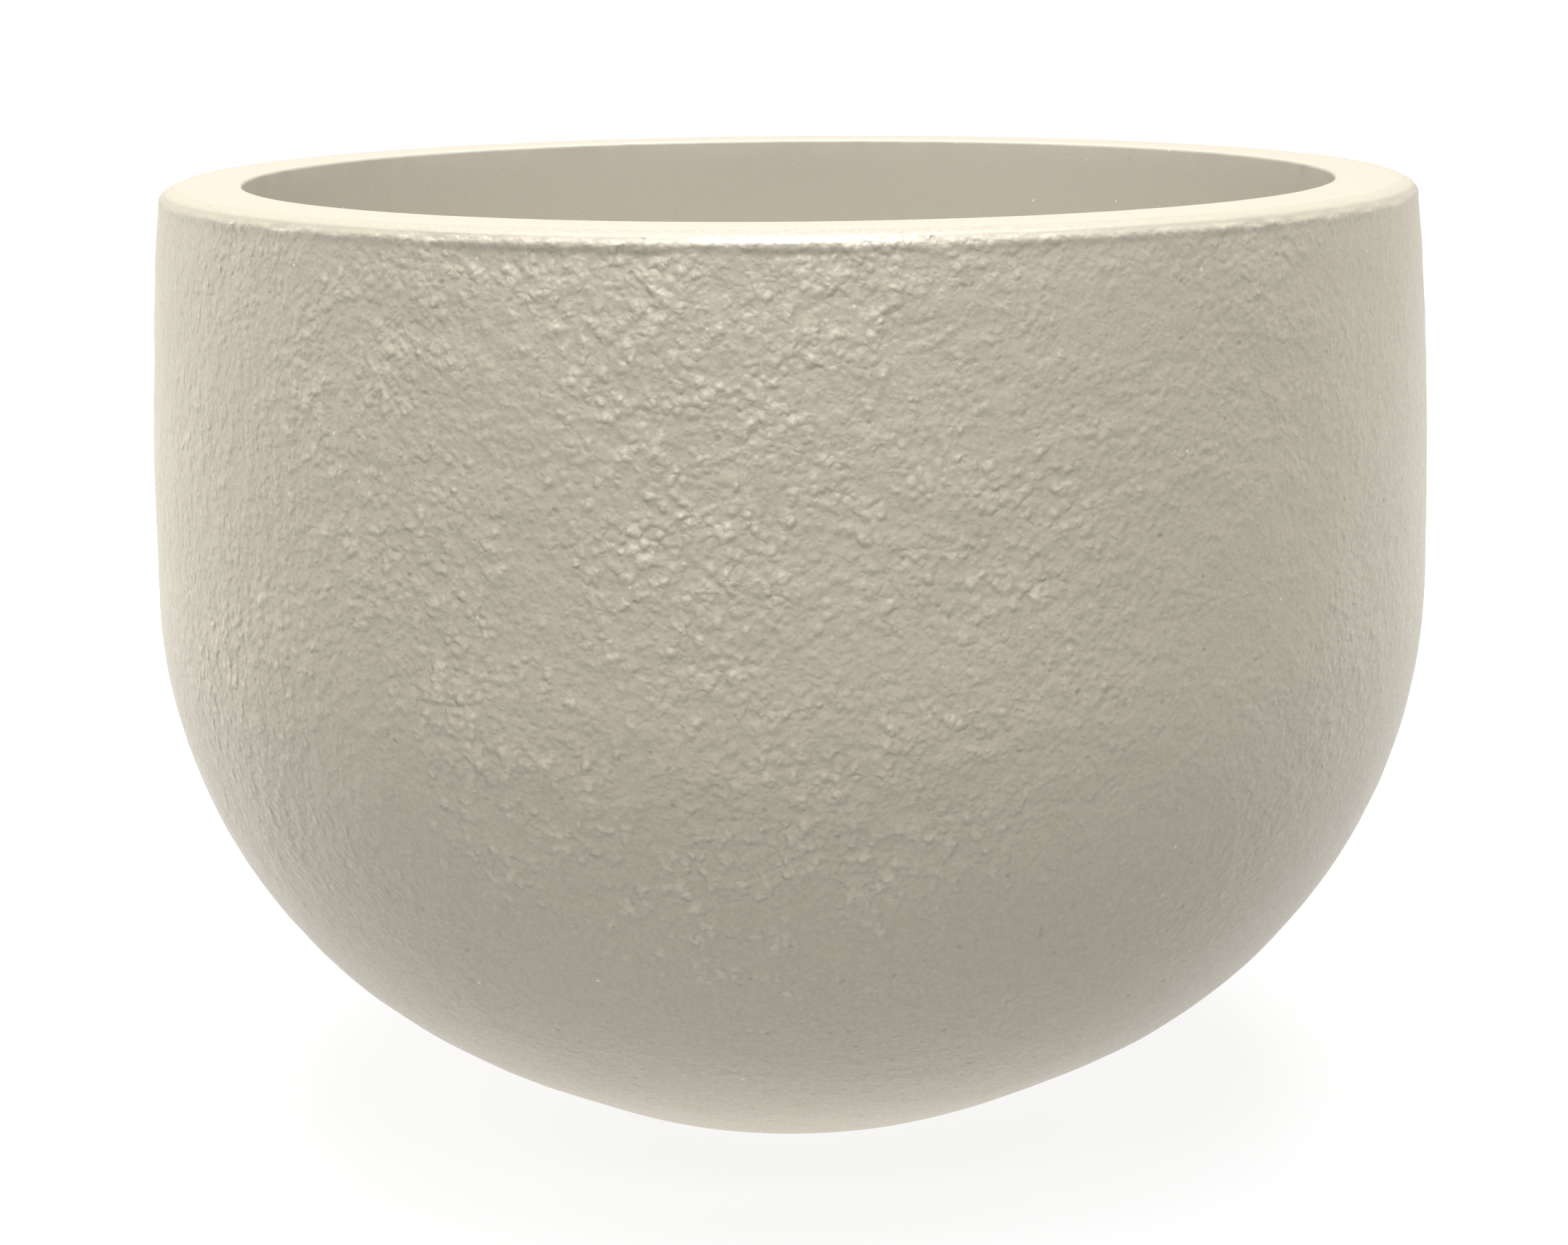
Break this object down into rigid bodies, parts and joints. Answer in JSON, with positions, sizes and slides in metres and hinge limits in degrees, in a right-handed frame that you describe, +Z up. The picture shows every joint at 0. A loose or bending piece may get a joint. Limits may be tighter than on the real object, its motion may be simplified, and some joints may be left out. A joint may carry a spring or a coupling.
{
  "type": "round planter",
  "caption": "Round thick-walled cast bowl planter with a flat rim, rough outer face, lined drain hole, lift-out rubber plug and rubber foot pads.",
  "frame": {"origin": "on the ground, under the middle of the bowl", "axes": "+Z up along the bowl's axis; -Y faces the viewer of the picture; +X to the viewer's right"},
  "size_m": [0.3999, 0.4, 0.292],
  "materials": {
    "cast_stone": "rough cast outside, smooth inside and on the rim, satin",
    "sleeve_plastic": "matte moulded",
    "plug_rubber": "matte moulded",
    "pad_rubber": "matte moulded"
  },
  "bodies": {
    "planter": {"planter_shell": "cast_stone", "drain_sleeve": "sleeve_plastic", "foot_pad_1": "pad_rubber", "foot_pad_2": "pad_rubber", "foot_pad_3": "pad_rubber", "foot_pad_4": "pad_rubber"},
    "plug": {"drain_plug": "plug_rubber"}
  },
  "joints": [
    {"name": "plug_lift", "type": "slide", "parent": "planter", "child": "plug", "axis": [0, 0, 1], "range_m": [0, 0.3]}
  ]
}
